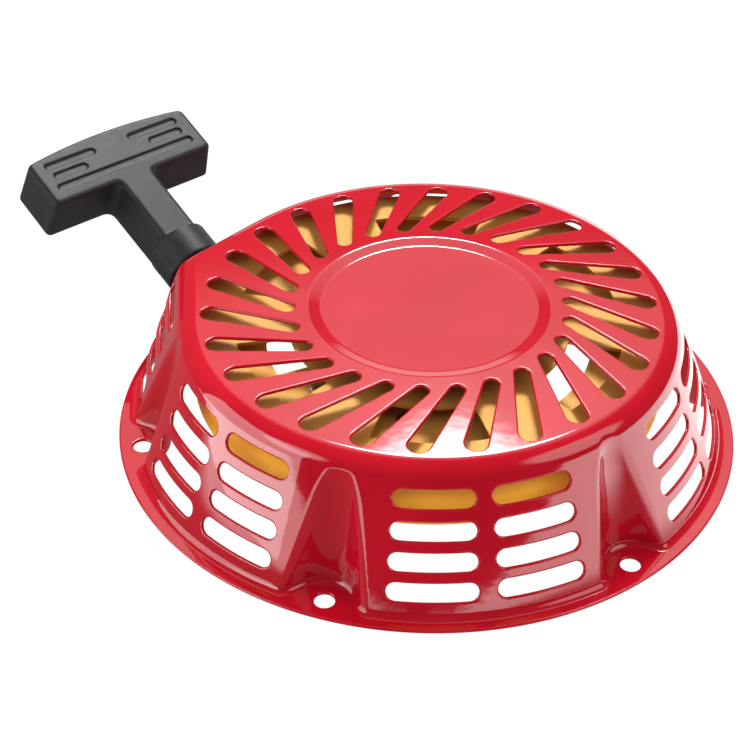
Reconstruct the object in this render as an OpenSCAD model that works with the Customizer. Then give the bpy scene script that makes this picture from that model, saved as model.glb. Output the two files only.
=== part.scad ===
// Pull-cord (recoil) starter for a large single-cylinder engine.
// Origin: centre of the bolt circle on the mounting plane. +Z points away from the engine.
// The bolt holes lie at 30, 90, 150 ... degrees and the rope leaves on the -X side.

/* [Cover] */
// Outside diameter of the mounting flange
flange_d = 225; // [223:0.5:227]
// Thickness of the pressed steel sheet
sheet = 1.2; // [1:0.1:1.4]
// Height of the dome at the edge of its round centre recess
dome_h = 51.85; // [51:0.05:53]
// Radius of the side wall where it meets the mounting plane
wall_base_r = 107.6; // [107:0.1:108]
// Radius lost by the side wall for each millimetre of height
wall_taper = 0.405; // [0.395:0.005:0.41]
// Rounding between the dome and the side wall
edge_r = 8.5; // [7:0.5:9]
// Outside radius of the centre recess
recess_r = 43; // [42:0.5:44]
// Depth of the centre recess
recess_depth = 1.35; // [1:0.05:1.5]

/* [Mounting] */
// Diameter of the bolt circle
bolt_circle_d = 208.4; // [206:0.1:209]
// Diameter of each bolt hole
bolt_hole_d = 7; // [6.6:0.1:7.4]
// Radius of the scoop pressed into the wall above each bolt hole
scoop_r = 15; // [14:0.5:15.5]

/* [Vents] */
// Number of swirled slots in the dome
slot_count = 26; // [24:1:26]
// Width of a dome slot at its outer end
slot_w_out = 7.5; // [7:0.1:7.8]
// Width of a dome slot at its inner end
slot_w_in = 5.2; // [4.6:0.1:5.6]
// Angle that one side vent spans
vent_angle = 17.1; // [16:0.1:17.4]
// Height of one side vent along the wall
vent_h = 6.5; // [5.5:0.1:6.8]

/* [Rope and grip] */
// Diameter of the braided rope
rope_d = 5; // [4.5:0.1:5]
// Compass direction in which the rope is pulled
pull_az = 149; // [147:0.5:151]
// Upward tilt of the pulled rope
pull_el = 20.1; // [18:0.1:22]
// Length of the grip's cross bar
bar_l = 74; // [70:0.5:76]
// Height of the grip's cross bar
bar_h = 19; // [17:0.5:21]
// Depth of the grip's cross bar along the pull, without its arched back
bar_d = 22.5; // [21:0.5:24]
// How far the back of the cross bar arches out
bar_arch = 3.4; // [2:0.1:4]

/* [Reel] */
// Outside radius of the reel's two plates
reel_r = 77; // [76:0.5:77.5]
// Radius of the drum that the rope is wound on
drum_r = 61; // [60:0.5:61.5]
// Radius of the fixed post
post_r = 7; // [6.5:0.1:7]
// Swing of each pawl from rest to full reach
pawl_swing = 32; // [28:1:32]

/* [Hidden] */
$fn = 96;
reach = 200;                         // longer than anything that is cut

// Cover outline
cover_split_z = 43.3;                // the cover is given in two parts that meet at this height
wall_el = atan(wall_taper);          // upward tilt of the wall's normal
wall_stretch = 1 / cos(wall_el);
dome_fall = 0.0523;                  // height lost per millimetre of radius
dome_el = 90 - atan(dome_fall);      // upward tilt of the dome's normal
recess_floor_r = recess_r - 4.5;
recess_floor_z = dome_h - recess_depth;
flange_r = flange_d / 2;
bolt_r = bolt_circle_d / 2;
scoop_count = 6;

// Rope boss: a corner between two planes, each tangent to the conical wall
boss_face_az = 156.6;
boss_side_az = 204;
boss_inset = 4;
corner_az = 180.3;                   // third plane, which trims the corner between the two
corner_el = 12.6;
corner_dist = 105.98;

// Vents
slot_tip_in_r = 48.16;
slot_tip_in_az = 135;
slot_tip_out_r = 80.6;
slot_tip_out_az = 119;
slot_end_steps = 6;
vent_rows = [9.5, 19.1, 28.9, 39.1];
vent_offset_az = 10.25;              // each vent's centre from the middle of its sector
vent_sectors = [0, 60, 120, 240, 300];

// Rope path
pull_dir = [cos(pull_el) * cos(pull_az), cos(pull_el) * sin(pull_az), sin(pull_el)];
rope_r = rope_d / 2;
exit_z = 29.2;                       // height of the rope guide in the boss
face_dir = [cos(wall_el) * cos(boss_face_az), cos(wall_el) * sin(boss_face_az), sin(wall_el)];
exit_az = 169.75;
exit_r = (wall_base_r * cos(wall_el) - face_dir.z * exit_z)
         / (cos(wall_el) * cos(exit_az - boss_face_az));
exit_at = [exit_r * cos(exit_az), exit_r * sin(exit_az), exit_z];
guide_hole_r = 8;
guide_bore_r = 4.2;
guide_lip = 1.5;

// Reel case, a cup hung under the dome
case_r = 84;
case_bottom_z = 22;
case_roof_z = 44.2;
case_top_z = recess_floor_z - sheet;
case_top_r = 34;
case_step_r = 38;
case_windows = [6, -11, 50, 69, 34]; // number, direction of the first, inner radius, outer radius, angle

// Reel
web_z = 35.2;                        // underside of the reel's web
plate = 1.2;
groove_z = 26;
groove_top_z = web_z + plate;
reel_top_z = groove_top_z + plate;
coil_r = drum_r + 2 * rope_d - 0.2;
reel_windows = [2, 10, 41, 58, 68];
rivet_at = 50;
rivet_az = [60, 100, 140];           // repeated on the other side
rivet_r = 2;
rivet_head_r = 3.4;
rivet_head_h = 0.9;
hub_r = 10;
hub_flange_r = 16;
hub_bottom_z = 25.2;
hub_top_z = 45.8;
bearing_gap = 0.05;
knot_space_r = 4.2;                   // pocket in the coil for the knot at the rope's inner end
knot_space_az = 40;
post_flange_r = 12;
post_flange_z = case_top_z - sheet - 2;
post_shank_r = 5;
post_bottom_z = 24.6;
screw_r = 3;

// Recoil spring
spring_turns = 7;
spring_steps = 28;
spring_in_r = 12.6;
spring_pitch = 2.6;
spring_strip = 0.7;
spring_h = 6.6;
spring_z = hub_top_z - 6.8;
hub_step_z = hub_top_z - 7.4;         // above it the hub is turned down for the spring

// Pawls and their guide
pawl_pin_at = 25;
pawl_pin_r = 2.5;
pawl_l = 19;
pawl_rest_az = -95;
pawl_z = 28.4;
pawl_h = 4.6;
pawl_eye_r = 5.2;
pawl_leg_at = 12;
pawl_leg_r = 1.75;
guide_turn = 35;
guide_z = 25.8;
guide_h = 1.4;
guide_r = 37.5;
guide_slot_w = 6.5;

// Grip, measured along the pull from the rope guide
collar_start = 3.4;
collar_end = 16.9;
collar_r = 12.1;
bar_start = 47.8;
stem_w = 16.5;
grip_bore_r = 3;
knot_seat = 58;
knot_pocket_r = 7.5;
washer_h = 1.5;
knot_h = 9;
groove_rows = [[6.6, 0, 29], [12.2, 21.7, 5.8], [17.4, 18.8, 9.5]];  // from the front, from the middle, half length
groove_depth = 0.8;

// Points along an arc in the plane
function arc(c, r, a0, a1, n) =
    [for (i = [0 : n]) c + r * [cos(a0 + (a1 - a0) * i / n), sin(a0 + (a1 - a0) * i / n)]];

// Centre of the rounding between the dome and the wall, for a skin set in by `inset`
function edge_center(inset) =
    let (d0 = (dome_h - inset + dome_fall * recess_r) * sin(dome_el) - (edge_r - inset),
         w0 = wall_base_r * cos(wall_el) - inset - (edge_r - inset),
         det = cos(wall_el) * sin(dome_el) - sin(wall_el) * cos(dome_el))
    [(w0 * sin(dome_el) - d0 * sin(wall_el)) / det,
     (cos(wall_el) * d0 - cos(dome_el) * w0) / det];

// Half section of the dome and wall, for a skin set in by `inset` and reaching down to `z0`
function skin_outline(inset, z0) = concat(
    [[0, z0], [0, recess_floor_z - inset], [recess_floor_r, recess_floor_z - inset],
     [recess_r, dome_h - inset]],
    arc(edge_center(inset), edge_r - inset, dome_el, wall_el, 8),
    [[wall_base_r - inset * wall_stretch - wall_taper * z0, z0]]);

// Outline of a straight slot between two tips, round at both ends and wider at the second
function slot_outline(tip0, r0, tip1, r1, n) =
    let (dir = (tip1 - tip0) / norm(tip1 - tip0),
         c0 = tip0 + dir * r0, c1 = tip1 - dir * r1,
         az = atan2(dir.y, dir.x), lean = asin((r1 - r0) / norm(c1 - c0)))
    concat(arc(c1, r1, az - 90 - lean, az + 90 + lean, n),
           arc(c0, r0, az + 90 + lean, az + 270 - lean, n));

function polar(r, az) = [r * cos(az), r * sin(az)];

// Everything beyond a plane whose normal has the compass direction az and the tilt el
module beyond(az, el, dist)
    rotate([0, -el, az]) translate([dist, -reach, -reach]) cube(2 * reach);

// The rope boss, set in by `inset` and reaching down to `z0`
module boss_body(inset, z0) {
    trim = boss_inset + inset * 2;
    c = edge_center(inset);
    bevel_el = (wall_el + dome_el) / 2;
    bevel = c.x * cos(bevel_el) + c.y * sin(bevel_el) + edge_r - inset;
    top = dome_h - inset - 0.05;
    difference() {
        rotate([0, 0, boss_face_az + trim])
            rotate_extrude(angle = boss_side_az - boss_face_az - 2 * trim)
                polygon([[60, z0], [125, z0], [125, top - dome_fall * (125 - recess_r)],
                         [60, top - dome_fall * (60 - recess_r)]]);
        for (az = [boss_face_az, boss_side_az]) {
            beyond(az, wall_el, wall_base_r * cos(wall_el) - inset);
            beyond(az, bevel_el, bevel);
        }
        beyond(corner_az, corner_el, corner_dist - inset);
    }
}

// Solid under the cover's skin, with the bolt scoops taken out
module skin_body(inset, z0, scoop_z) {
    difference() {
        union() {
            rotate_extrude() polygon(skin_outline(inset, z0));
            boss_body(inset, z0);
        }
        for (k = [0 : scoop_count - 1])
            rotate([0, 0, 30 + 60 * k]) translate([bolt_r, 0, scoop_z])
                cylinder(r = scoop_r + inset, h = reach);
    }
}

// Cutter for one side vent
module vent_cut(az, z) {
    r = wall_base_r - wall_taper * z;
    half = r * sin(vent_angle / 2);
    rotate([0, 0, az]) translate([r, 0, z]) rotate([0, 90 - wall_el, 0])
        translate([0, 0, -7]) linear_extrude(14)
            polygon(slot_outline([0, -half], vent_h / 2, [0, half], vent_h / 2, slot_end_steps));
}

// Placement at the rope guide, with X along the given direction
module at_exit(az, el) translate(exit_at) rotate([0, -el, az]) children();

// The cover's shell between two heights, before its holes are cut
module shell(from_z, to_z) difference() {
    union() {
        cylinder(r = flange_r, h = sheet);
        skin_body(0, 0, sheet);
    }
    skin_body(sheet, -1, -2);
    translate([-reach, -reach, to_z]) cube(2 * reach);
    translate([-reach, -reach, from_z - 2 * reach]) cube(2 * reach);
}

// Upper part of the pressed cover: the dome with its slots, down to a level just above the vents
module cover_top() color([0.82, 0.07, 0.1]) difference() {
    shell(cover_split_z, reach);
    for (k = [0 : slot_count - 1])
        rotate([0, 0, -360 / slot_count * k]) translate([0, 0, 40]) linear_extrude(20)
            polygon(slot_outline(polar(slot_tip_in_r, slot_tip_in_az), slot_w_in / 2,
                                 polar(slot_tip_out_r, slot_tip_out_az), slot_w_out / 2,
                                 slot_end_steps));
}

// Lower part of the same pressing: the wall with its vents, the rope boss and the flange
module cover_wall() color([0.78, 0.05, 0.08]) difference() {
    shell(-1, cover_split_z);
    for (az = vent_sectors, side = [-1, 1], z = vent_rows) vent_cut(az + side * vent_offset_az, z);
    for (z = vent_rows) vent_cut(180 + vent_offset_az, z);
    vent_cut(180 - vent_offset_az, vent_rows[0]);
    for (k = [0 : scoop_count - 1])
        rotate([0, 0, 30 + 60 * k]) translate([bolt_r, 0, -1])
            cylinder(d = bolt_hole_d, h = 4);
    at_exit(boss_face_az, wall_el) rotate([0, 90, 0]) translate([0, 0, -6])
        cylinder(r = guide_hole_r, h = 12);
}

// Ring of equal windows, each a sector between two radii
module window_ring(w, z, h)
    for (k = [0 : w[0] - 1])
        rotate([0, 0, w[1] - w[4] / 2 + 360 / w[0] * k])
            rotate_extrude(angle = w[4])
                translate([w[2], z]) square([w[3] - w[2], h]);

module case_roof() color([0.87, 0.62, 0.2]) difference() {
    rotate_extrude() polygon([
        [post_shank_r, case_top_z - sheet], [post_shank_r, case_top_z], [case_top_r, case_top_z],
        [case_step_r, case_roof_z], [case_r, case_roof_z], [case_r, case_roof_z - sheet],
        [case_step_r - 1, case_roof_z - sheet], [case_top_r - 1, case_top_z - sheet]]);
    window_ring(case_windows, case_roof_z - 3, 5);
}

module case_wall() color([0.83, 0.58, 0.18]) difference() {
    rotate_extrude() translate([case_r - sheet, case_bottom_z])
        square([sheet, case_roof_z - sheet - case_bottom_z]);
    rotate([0, 0, 173]) rotate_extrude(angle = 20)
        translate([case_r - 3, groove_z - 2]) square([5, 10.5]);
}

module center_post() color([0.72, 0.73, 0.75]) difference() {
    rotate_extrude() polygon([
        [0, post_bottom_z], [post_r, post_bottom_z], [post_r, post_flange_z],
        [post_flange_r, post_flange_z], [post_flange_r, case_top_z - sheet],
        [post_shank_r, case_top_z - sheet], [post_shank_r, case_top_z], [0, case_top_z]]);
    translate([0, 0, post_bottom_z - 1]) cylinder(r = screw_r, h = 15);
}

module rope_guide() color([0.12, 0.12, 0.13])
    at_exit(boss_face_az, wall_el) rotate([0, 90, 0]) rotate_extrude() polygon(concat(
        [[guide_hole_r + 3, 0], [guide_hole_r + 3, guide_lip - 0.4], [guide_hole_r + 2.4, guide_lip]],
        arc([guide_bore_r + 1.8, guide_lip - 1.8], 1.8, 90, 180, 6),
        [[guide_bore_r, -0.5], [guide_hole_r - 0.7, -4.4], [guide_hole_r, -4.4], [guide_hole_r, 0]]));

module center_screw() color([0.75, 0.75, 0.77]) {
    head_z = post_bottom_z - 1 - 4;
    translate([0, 0, head_z]) cylinder(d = 13, h = 4, $fn = 6);
    translate([0, 0, head_z + 4]) cylinder(r = screw_r, h = 14);
}

module retaining_washer() color([0.7, 0.7, 0.72])
    translate([0, 0, post_bottom_z - 1]) difference() {
        cylinder(r = 15, h = 1);
        translate([0, 0, -1]) cylinder(r = screw_r, h = 3);
    }

module friction_spring() color([0.55, 0.56, 0.58])
    translate([0, 0, post_bottom_z + 0.1]) difference() {
        cylinder(r = 14.5, h = 0.9);
        translate([0, 0, -1]) cylinder(r = 11.5, h = 3);
    }

// Flat spiral spring wound between the hub and the raised middle of the case
function spiral(i, off) =
    polar(spring_in_r + off + spring_pitch * i / spring_steps, 360 * i / spring_steps);

module recoil_spring() color([0.35, 0.38, 0.42])
    translate([0, 0, spring_z]) linear_extrude(spring_h) polygon(concat(
        [for (i = [0 : spring_turns * spring_steps]) spiral(i, 0)],
        [for (i = [spring_turns * spring_steps : -1 : 0]) spiral(i, spring_strip)]));

module reel_upper_plate() color([0.85, 0.63, 0.25]) difference() {
    translate([0, 0, groove_top_z]) cylinder(r = reel_r, h = plate);
    translate([0, 0, groove_top_z - 1]) cylinder(r = hub_r, h = 5);
    window_ring(reel_windows, groove_top_z - 1, 4);
    reel_holes();
}

module reel_web() color([0.8, 0.58, 0.22]) difference() {
    translate([0, 0, web_z]) cylinder(r = drum_r - plate, h = plate);
    translate([0, 0, web_z - 1]) cylinder(r = hub_r, h = 4);
    window_ring(reel_windows, web_z - 1, 4);
    reel_holes();
}

module reel_drum() color([0.77, 0.55, 0.2])
    rotate_extrude() polygon([
        [drum_r - plate, groove_z - plate], [reel_r, groove_z - plate], [reel_r, groove_z],
        [drum_r, groove_z], [drum_r, groove_top_z], [drum_r - plate, groove_top_z]]);

// Holes through the web for the rivets and the pawl pins
module reel_holes() {
    for (az = rivet_az, turn = [0, 180])
        rotate([0, 0, az + turn]) translate([rivet_at, 0, web_z - 1])
            cylinder(r = rivet_r, h = 5);
    for (k = [0, 1])
        rotate([0, 0, 180 * k]) translate([pawl_pin_at, 0, web_z - 1])
            cylinder(r = pawl_pin_r, h = 5);
}

module reel_hub() color([0.68, 0.69, 0.72]) difference() {
    union() {
        translate([0, 0, hub_bottom_z]) cylinder(r = hub_r, h = hub_step_z - hub_bottom_z);
        translate([0, 0, hub_bottom_z]) cylinder(r = hub_r - 0.6, h = hub_top_z - hub_bottom_z);
        translate([0, 0, reel_top_z]) cylinder(r = hub_flange_r, h = 1);
    }
    translate([0, 0, hub_bottom_z - 1]) cylinder(r = post_r + bearing_gap, h = 30);
}

module reel_rivets() color([0.78, 0.78, 0.8])
    for (az = rivet_az, turn = [0, 180])
        rotate([0, 0, az + turn]) translate([rivet_at, 0, web_z - rivet_head_h]) {
            cylinder(r = rivet_head_r, h = rivet_head_h);
            cylinder(r = rivet_r, h = plate * 2 + rivet_head_h * 2);
            translate([0, 0, plate * 2 + rivet_head_h]) cylinder(r = rivet_head_r, h = rivet_head_h);
        }

// Four turns of rope, two wide and two deep
module rope_coil() color([0.88, 0.87, 0.83]) difference() {
    rotate_extrude() polygon(concat(
        [[drum_r, groove_z + 0.2], [coil_r - 2, groove_z + 0.2]],
        arc([coil_r - rope_r, groove_z + 0.2 + rope_r], rope_r, -60, 60, 4),
        arc([coil_r - rope_r, groove_top_z - 0.2 - rope_r], rope_r, -60, 60, 4),
        [[coil_r - 2, groove_top_z - 0.2], [drum_r, groove_top_z - 0.2]]));
    reel_knot_space();
}

// The rope's inner end is knotted in a pocket of the drum
module reel_knot_space()
    rotate([0, 0, knot_space_az]) translate([drum_r + 4, 0, (groove_z + groove_top_z) / 2])
        cylinder(r = knot_space_r, h = 2 * knot_space_r, center = true);

module reel_knot() color([0.86, 0.85, 0.8])
    rotate([0, 0, knot_space_az]) translate([drum_r + 4, 0, (groove_z + groove_top_z) / 2])
        intersection() {
            cylinder(r = knot_space_r - 0.3, h = 2 * knot_space_r - 0.4, center = true);
            sphere(r = knot_space_r + 0.6);
        }

module pawl_pins() color([0.7, 0.71, 0.73])
    for (k = [0, 1])
        rotate([0, 0, 180 * k]) translate([pawl_pin_at, 0, 0]) {
            translate([0, 0, pawl_z - 1]) cylinder(r = 3.6, h = 0.8);
            translate([0, 0, pawl_z - 1]) cylinder(r = pawl_pin_r, h = reel_top_z - pawl_z + 1.8);
            translate([0, 0, reel_top_z]) cylinder(r = 3.6, h = 0.8);
        }

// A pawl: an eye on its pin, an arm that ends in a chisel tip, and a leg that the guide moves
module pawl() color([0.42, 0.42, 0.45])
    translate([pawl_pin_at, 0, 0]) rotate([0, 0, pawl_rest_az]) {
        translate([0, 0, pawl_z]) difference() {
            linear_extrude(pawl_h) polygon(concat(
                arc([0, 0], pawl_eye_r, 62, 298, 16),
                [[pawl_l - 5, -3.6], [pawl_l, -3.2], [pawl_l, 2.8], [pawl_l - 4, 3.6]]));
            translate([0, 0, -1]) cylinder(r = pawl_pin_r + bearing_gap, h = pawl_h + 2);
        }
        translate([pawl_leg_at, 0, guide_z - 0.6])
            cylinder(r = pawl_leg_r, h = pawl_z - guide_z + 1);
    }

module pawl_a() pawl();
module pawl_b() rotate([0, 0, 180]) pawl();

// Return spring: close turns of wire around the pin, one leg on the pawl and one on the web
module pawl_spring() color([0.75, 0.76, 0.78]) {
    wire_r = 0.35;
    ring_r = pawl_pin_r + 0.2;
    turns_h = 4 * wire_r;
    translate([pawl_pin_at, 0, pawl_z + pawl_h + 0.3]) {
        difference() {
            cylinder(r = ring_r + 2 * wire_r, h = turns_h);
            translate([0, 0, -1]) cylinder(r = ring_r, h = turns_h + 2);
        }
        rotate([0, 0, pawl_rest_az]) translate([0, ring_r + wire_r, wire_r])
            rotate([0, 90, 0]) cylinder(r = wire_r, h = 11);
        rotate([0, 0, 150]) translate([0, ring_r + wire_r, 3 * wire_r])
            rotate([0, 90, 0]) cylinder(r = wire_r, h = 9);
    }
}

module pawl_spring_a() pawl_spring();
module pawl_spring_b() rotate([0, 0, 180]) pawl_spring();

// Friction plate with one slot per pawl: turning it swings both pawls out
module ratchet_guide() color([0.6, 0.6, 0.62]) difference() {
    translate([0, 0, guide_z]) cylinder(r = guide_r, h = guide_h);
    translate([0, 0, guide_z - 1]) cylinder(r = hub_r + bearing_gap, h = 4);
    for (k = [0, 1]) rotate([0, 0, 180 * k]) translate([0, 0, guide_z - 1]) linear_extrude(4)
        polygon(slot_outline(leg_rest - slot_dir * guide_slot_w / 2, guide_slot_w / 2,
                             leg_out + slot_dir * guide_slot_w / 2, guide_slot_w / 2, 8));
}

// Leg positions seen from the guide, before and after the pawls swing
function leg_at(swing, turn) =
    let (p = [pawl_pin_at, 0] + polar(pawl_leg_at, pawl_rest_az + swing))
    polar(norm(p), atan2(p.y, p.x) - turn);
leg_rest = leg_at(0, 0);
leg_out = leg_at(pawl_swing, guide_turn);
slot_dir = (leg_out - leg_rest) / norm(leg_out - leg_rest);

// Rope from the reel through the guide to the knot in the grip
lead_r = coil_r + 0.3 + rope_r;
lead_az = exit_az + acos(lead_r / exit_r);
lead_start = [lead_r * cos(lead_az), lead_r * sin(lead_az), exit_z];
lead_dir = (exit_at - lead_start) / norm(exit_at - lead_start);
bend = 4.5;                          // half length of the bend in the guide
function bend_point(t) =
    exit_at - lead_dir * bend * (1 - t) * (1 - t) + pull_dir * bend * t * t;
lead_path = concat(
    [for (i = [0 : 8]) lead_start + (exit_at - lead_dir * bend - lead_start) * i / 9],
    [for (i = [0 : 5]) bend_point(i / 5)],
    [for (i = [1 : 6]) exit_at + pull_dir * (bend + (knot_seat - bend) * i / 6)]);

module rope_lead() color([0.88, 0.87, 0.83]) {
    sides = 10;
    n = len(lead_path);
    points = [for (i = [0 : n - 1])
        let (d = lead_path[min(i + 1, n - 1)] - lead_path[max(i - 1, 0)], f = d / norm(d),
             s = cross([0, 0, 1], f) / norm(cross([0, 0, 1], f)), u = cross(f, s))
        for (k = [0 : sides - 1])
            lead_path[i] + rope_r * (cos(360 * k / sides) * s + sin(360 * k / sides) * u)];
    polyhedron(points, concat(
        [[for (k = [0 : sides - 1]) k]],
        [for (i = [0 : n - 2], k = [0 : sides - 1]) let (a = i * sides, j = (k + 1) % sides)
            [a + k, a + sides + k, a + sides + j, a + j]],
        [[for (k = [sides - 1 : -1 : 0]) (n - 1) * sides + k]]), convexity = 4);
}

module grip_knot() color([0.86, 0.85, 0.8])
    at_exit(pull_az, pull_el) rotate([0, 90, 0]) translate([0, 0, knot_seat + washer_h])
        intersection() {
            cylinder(r = 6.2, h = knot_h);
            translate([0, 0, knot_h / 2]) sphere(r = 6.9);
        }

module grip_washer() color([0.75, 0.75, 0.77])
    at_exit(pull_az, pull_el) rotate([0, 90, 0]) translate([0, 0, knot_seat]) difference() {
        cylinder(r = 6.8, h = washer_h);
        translate([0, 0, -1]) cylinder(r = rope_r, h = 4);
    }

// Outline of the cross bar seen from above, with its arched back
function bar_outline(l) =
    let (x0 = bar_start, x1 = bar_start + bar_d, arch_r = (l * l / 4 + bar_arch * bar_arch) / 2 / bar_arch,
         half = asin(l / 2 / arch_r))
    concat([[x0, -l / 2 + 2], [x0, l / 2 - 2], [x0 + 2, l / 2]],
           arc([x1 + bar_arch - arch_r, 0], arch_r, half, -half, 14),
           [[x0 + 2, -l / 2]]);

module grip() color([0.14, 0.14, 0.15]) at_exit(pull_az, pull_el) difference() {
    union() {
        rotate([0, 90, 0]) translate([0, 0, collar_start])
            cylinder(r = collar_r, h = collar_end - collar_start);
        translate([0, 0, -bar_h / 2]) linear_extrude(bar_h) polygon(bar_outline(bar_l));
        rotate([90, 0, 0]) translate([0, 0, -stem_w / 2]) linear_extrude(stem_w)
            polygon([[collar_end - 1, -8.8], [bar_start + 1, -bar_h / 2 + 0.4],
                     [bar_start + 1, bar_h / 2 - 0.4], [collar_end - 1, 9.2]]);
    }
    rotate([0, 90, 0]) cylinder(r = grip_bore_r, h = knot_seat + 1);
    rotate([0, 90, 0]) translate([0, 0, knot_seat]) cylinder(r = knot_pocket_r, h = 30);
    for (side = [-1, 1], row = groove_rows)
        translate([bar_start + row[0], side * row[1], bar_h / 2 - groove_depth])
            linear_extrude(2) polygon(slot_outline([0, -row[2]], 1.5, [0, row[2]], 1.5, 4));
}

cover_top();
cover_wall();
case_roof();
case_wall();
center_post();
rope_guide();
center_screw();
retaining_washer();
friction_spring();
recoil_spring();
reel_upper_plate();
reel_web();
reel_drum();
reel_hub();
reel_rivets();
rope_coil();
reel_knot();
pawl_pins();
pawl_a();
pawl_b();
pawl_spring_a();
pawl_spring_b();
ratchet_guide();
rope_lead();
grip_knot();
grip_washer();
grip();
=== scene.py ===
import math

import bpy
import numpy as np
from mathutils import Matrix, Vector
from mathutils.geometry import delaunay_2d_cdt


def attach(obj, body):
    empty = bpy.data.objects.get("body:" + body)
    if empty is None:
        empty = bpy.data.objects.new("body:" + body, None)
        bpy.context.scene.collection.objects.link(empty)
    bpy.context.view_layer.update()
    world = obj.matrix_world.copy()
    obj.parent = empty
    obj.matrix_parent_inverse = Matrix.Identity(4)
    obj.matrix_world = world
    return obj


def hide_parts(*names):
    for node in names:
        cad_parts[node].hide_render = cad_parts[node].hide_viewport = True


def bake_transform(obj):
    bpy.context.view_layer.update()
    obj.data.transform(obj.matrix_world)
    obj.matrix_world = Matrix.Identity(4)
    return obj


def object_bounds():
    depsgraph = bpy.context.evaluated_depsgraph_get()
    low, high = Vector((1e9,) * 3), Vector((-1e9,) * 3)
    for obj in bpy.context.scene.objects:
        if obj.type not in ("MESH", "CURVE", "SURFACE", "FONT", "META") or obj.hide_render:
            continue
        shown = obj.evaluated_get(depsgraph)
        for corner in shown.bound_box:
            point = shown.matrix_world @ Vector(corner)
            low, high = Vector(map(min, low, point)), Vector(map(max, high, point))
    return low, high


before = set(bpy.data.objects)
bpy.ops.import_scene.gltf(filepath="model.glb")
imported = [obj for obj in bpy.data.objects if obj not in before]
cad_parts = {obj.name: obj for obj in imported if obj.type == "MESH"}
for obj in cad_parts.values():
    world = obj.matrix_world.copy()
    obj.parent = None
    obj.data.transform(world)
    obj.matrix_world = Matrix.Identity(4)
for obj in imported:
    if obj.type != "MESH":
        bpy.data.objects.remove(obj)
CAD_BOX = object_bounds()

MM = 0.001
TURN = 17.6  # degrees from the studio's axes to the object's
MERGE = 1000  # vertices that round to the same place at this many steps per millimetre become one

# Camera: lens in millimetres, distance in metres, angles in degrees
LENS, TILT, DISTANCE = 93.384, 51.683, 0.718818
AIM = (("Y", 1.536), ("X", 1.227), ("Z", 1.766))  # last turns of the camera, in this order

# Cover, in millimetres and degrees
SHEET = 1.2
FLANGE_R = 112.5
WALL_R, WALL_TAPER, WALL_TOP = 107.6, 0.405, 44.0
WALL_EL = math.degrees(math.atan(WALL_TAPER))
DOME_Z, DOME_FALL = 51.85, 0.0523
RECESS_R, RECESS_FLOOR_R, RECESS_FLOOR_Z, RECESS_SOFT = 43.0, 38.5, 50.5, 0.55
RIM_DOWN, RIM_IN = 4.9, 5.29
BOLTS, SECTOR = 6, 60  # number of bolts, and the angle from each to the next
BOLT_R, BOLT_HOLE_R = 104.2, 3.5
SCOOP_R, SCOOP_DEEP, SCOOP_LEAN, SCOOP_TAPER = 12.8, 95.6, 0.15, 0.17
SCOOP_FLANK = (70, 54)  # slope of a scoop's sides at the foot and at the top
SCOOP_SOFT = (7.0, 5.5)  # rounding of a scoop's edges at the foot and at the top
SCOOP_CLOSE_Z, SCOOP_CLOSE = 33, 0.02  # height where a scoop starts to close, and how fast it does
BOSS_AZ, BOSS_SOFT = (156.6, 204.0), 3
CORNER_AZ, CORNER_R, CORNER_TAPER = 180.3, 108.6, 0.2235
SIDE_SPAN, CORNER_SPAN = 70, 60  # how far round the boss's planes are followed
FOOT_R, FOOT_MORE, FOOT_WIDTH = 2.0, 0.8, 5.5  # rounding onto the flange, and how it grows in the scoops
VENT_ROWS = (9.5, 19.1, 28.9, 39.1)
VENT_ANGLE, VENT_H, VENT_OFFSET = 17.1, 6.5, 10.25
VENT_SECTORS = (0, 60, 120, 240, 300)
BOSS_SECTOR = 180  # the sector with the rope boss, which has fewer vents
SLOTS = 26
SLOT_IN = (48.16, 135.0, 2.6)  # radius and direction of the tip, half width
SLOT_OUT = (80.6, 119.0, 3.75)
GUIDE_HOLE_R = 8.0
EDGE_OUT, EDGE_IN = 0.7, 0.35  # rounding of every cut edge, outside and inside
UNROLL = 100.0  # flat wall coordinates are radians times this, and height

# Mesh of the cover: radii or rows of free points, how many each has, and their distance from any hole
DOME_RADII, DOME_POINTS, DOME_TWIST = np.arange(48.5, 82, 3.2), 96, 1.9
FLANGE_RADII, FLANGE_POINTS = np.arange(97, 110, 2.5), 180
WALL_STEPS, SIDE_STEPS = 31, 15
ROOM, WALL_ROOM = 1.0, 0.9

# Rope and its route
EXIT = np.array([-96.783, 17.501, 29.2])
PULL_AZ, PULL_EL = 149.0, 20.1
ROPE_R = 2.5
LEAD_R = 73.6  # radius at which the rope leaves the drum
KNOT_SEAT, KNOT_RISE = 58.0, 6  # from the exit to the seat of the grip's knot, and from there to its middle
DRUM_KNOT_R, DRUM_KNOT_AZ, DRUM_KNOT_Z = 64.6, 40, 31.2


def polar(r, az):
    az = np.radians(az)
    return np.stack([r * np.cos(az), r * np.sin(az)], -1)


def ring(r, count, start=0.0):
    """Points on a circle, the first one in the start direction."""
    return polar(r, np.arange(count) * (360 / count) + start)


def unit(v):
    return v / np.maximum(np.linalg.norm(v, axis=-1, keepdims=True), 1e-9)


def basis(az, el):
    """X along the given direction, Y level, Z up: rows of a rotation."""
    a, e = math.radians(az), math.radians(el)
    x = np.array([math.cos(e) * math.cos(a), math.cos(e) * math.sin(a), math.sin(e)])
    y = np.array([-math.sin(a), math.cos(a), 0.0])
    return np.array([x, y, np.cross(x, y)])


PULL_ROWS = basis(PULL_AZ, PULL_EL)
PULL = PULL_ROWS[0]


def between(ends, t):
    return ends[0] + (ends[1] - ends[0]) * t


def smin(a, b, k):
    """Smaller of two values, with the change from one to the other rounded over k."""
    h = np.clip(1 - np.abs(a - b) / k, 0, 1)
    return np.minimum(a, b) - h * h * k / 4


# ---------------------------------------------------------------- camera

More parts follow.
